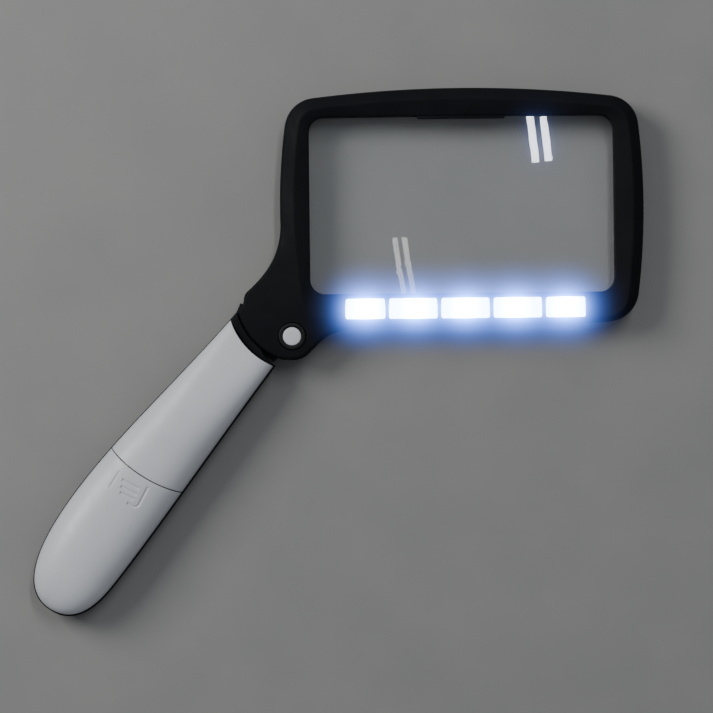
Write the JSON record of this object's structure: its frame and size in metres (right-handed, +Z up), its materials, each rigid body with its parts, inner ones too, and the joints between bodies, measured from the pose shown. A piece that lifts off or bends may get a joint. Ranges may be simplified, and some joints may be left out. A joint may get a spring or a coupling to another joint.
{
  "type": "magnifying glass",
  "caption": "Folding hand magnifier: rectangular acrylic lens in a dark frame with a lit window row, hinged to a two-cell battery handle with a sliding battery cover.",
  "frame": {"origin": "middle of the object's footprint, on the flat surface that the eye side lies on", "axes": "+Z up, out of the lit side; +X along the lens's long side; +Y from the light windows across the lens"},
  "size_m": [0.1996, 0.1704, 0.0185],
  "materials": {
    "black_plastic": "satin, fine moulded texture",
    "pale_plastic": "satin, cool white-grey",
    "lens_acrylic": "polished clear acrylic",
    "light_plastic": "clear frosted, lit",
    "circuit_board": "green solder mask",
    "black_component": "moulded epoxy and ferrite",
    "silver_metal": "nickel plate",
    "pin_steel": "turned steel",
    "nut_metal": "black oxide",
    "nylon": "natural nylon",
    "cell_jacket": "printed film, plain colour",
    "wire_sheath": "soft vinyl"
  },
  "bodies": {
    "handle": {"handle_lower_shell": "black_plastic", "handle_upper_shell": "pale_plastic", "battery_tray": "black_plastic", "batteries": "cell_jacket", "contact_springs": "silver_metal", "end_contact": "silver_metal", "battery_terminals": "silver_metal", "driver_board": "circuit_board", "driver_coil": "black_component", "driver_chip": "black_component", "switch_body": "silver_metal", "handle_screws": "silver_metal", "handle_wires": "wire_sheath", "pivot_pin": "pin_steel", "pivot_ring": "nut_metal", "pivot_cap": "pale_plastic", "friction_washer": "nylon", "wave_washer": "pin_steel"},
    "head": {"head_front_shell": "black_plastic", "head_rear_shell": "black_plastic", "lens": "lens_acrylic", "lens_clip": "black_plastic", "light_diffuser": "light_plastic", "led_board": "circuit_board", "leds": "light_plastic", "led_resistors": "silver_metal", "head_screws": "silver_metal", "head_wires": "wire_sheath"},
    "cover": {"battery_cover": "pale_plastic"},
    "switch": {"switch_slider": "black_plastic"}
  },
  "joints": [
    {"name": "head_fold", "type": "hinge", "parent": "handle", "child": "head", "pos_m": [-0.01492, 0.00481, 0.0066], "axis": [0, 0, -1], "range_deg": [0, 121]},
    {"name": "cover_slide", "type": "slide", "parent": "handle", "child": "cover", "axis": [-0.6428, -0.766, 0], "range_m": [0, 0.06]},
    {"name": "switch_slide", "type": "slide", "parent": "handle", "child": "switch", "axis": [-0.6428, -0.766, 0], "range_m": [0, 0.004]}
  ]
}
